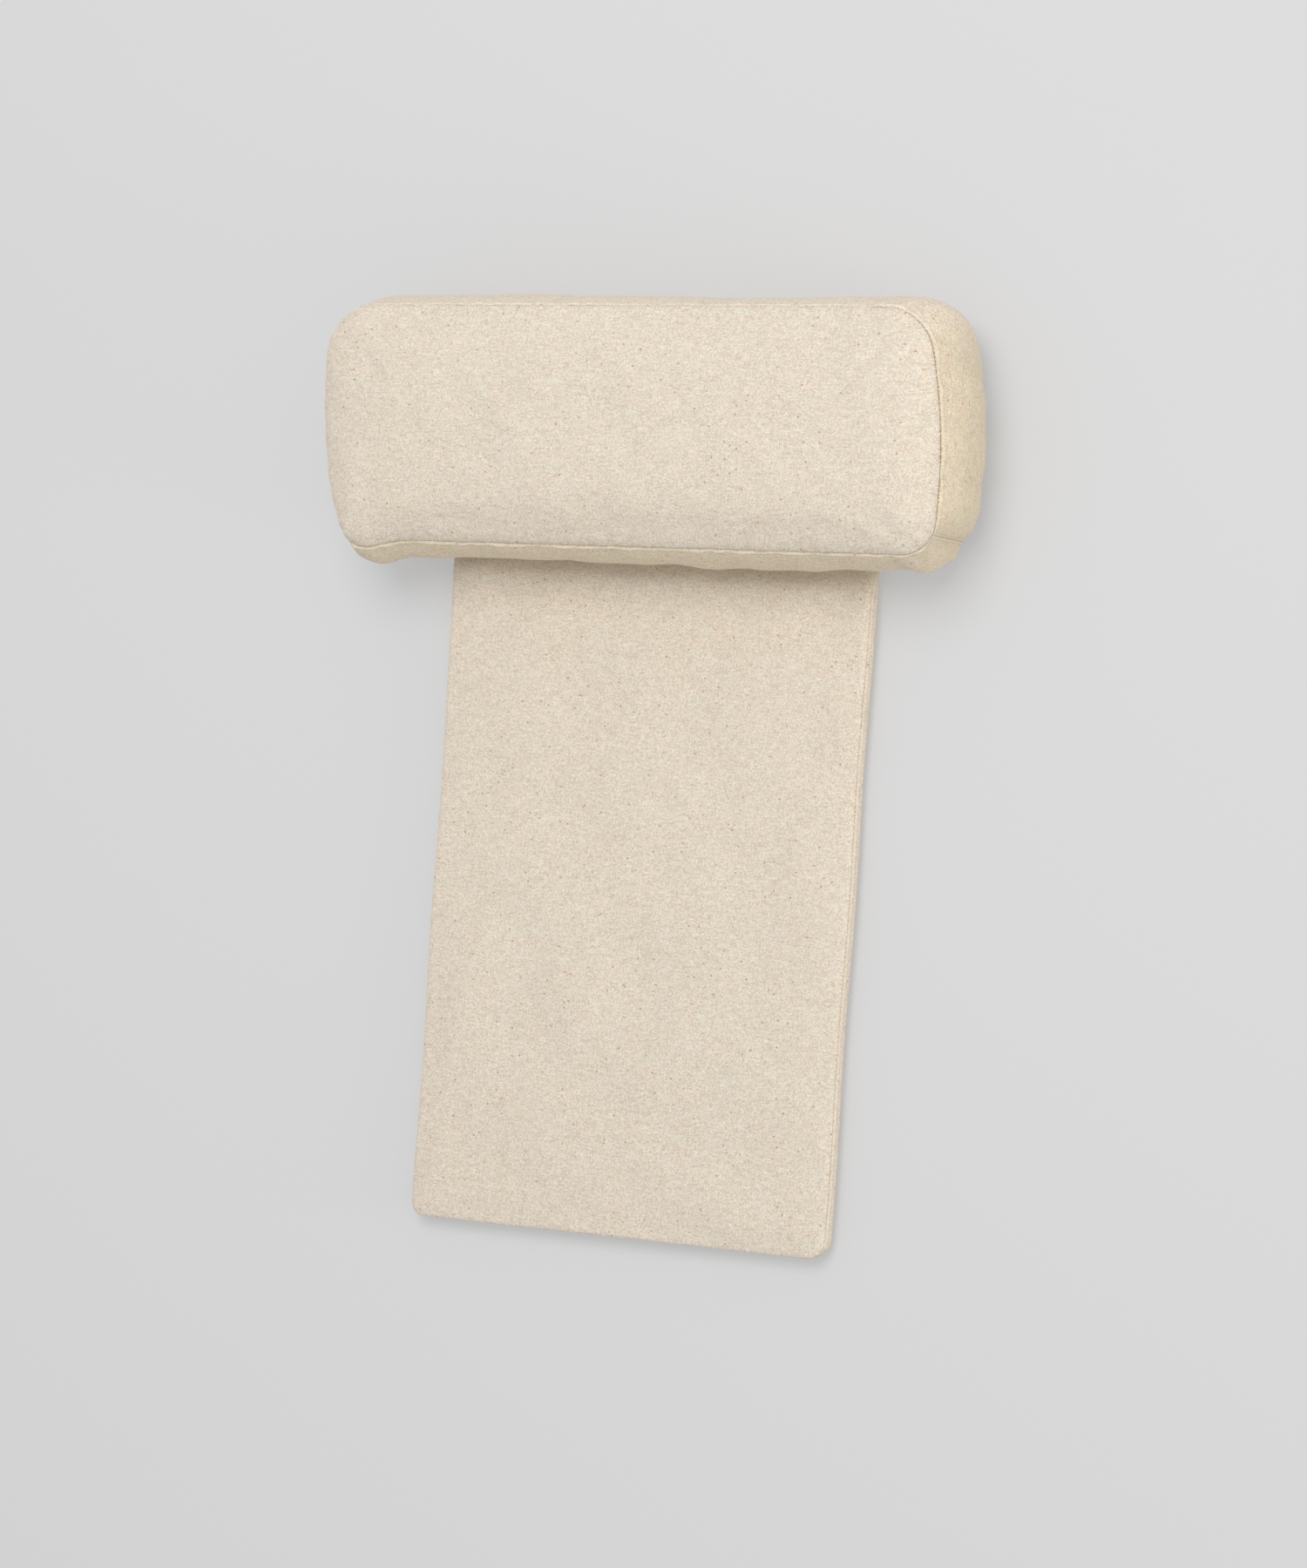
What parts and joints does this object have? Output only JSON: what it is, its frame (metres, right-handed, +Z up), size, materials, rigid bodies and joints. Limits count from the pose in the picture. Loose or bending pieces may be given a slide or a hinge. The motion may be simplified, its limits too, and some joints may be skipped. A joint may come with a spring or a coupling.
{
  "type": "headrest pillow with a padded flap",
  "caption": "Boxed, tightly filled linen headrest pillow with a long flat padded flap sewn into its lower back seam, lying on its back.",
  "frame": {"origin": "middle of the whole piece's box in plan, on the surface that the pillow's back and the flap lie on", "axes": "+X across the pillow's width, towards the wearer's left when the piece hangs on a seat back; +Y from the flap's free end to the pillow's top edge; +Z up, out of the pillow's front panel"},
  "size_m": [0.52, 0.7224, 0.1264],
  "materials": {
    "pillow_linen": "matt woven linen",
    "flap_linen": "matt woven linen"
  },
  "bodies": {
    "root": {"pillow": "pillow_linen", "flap": "flap_linen"}
  },
  "joints": []
}
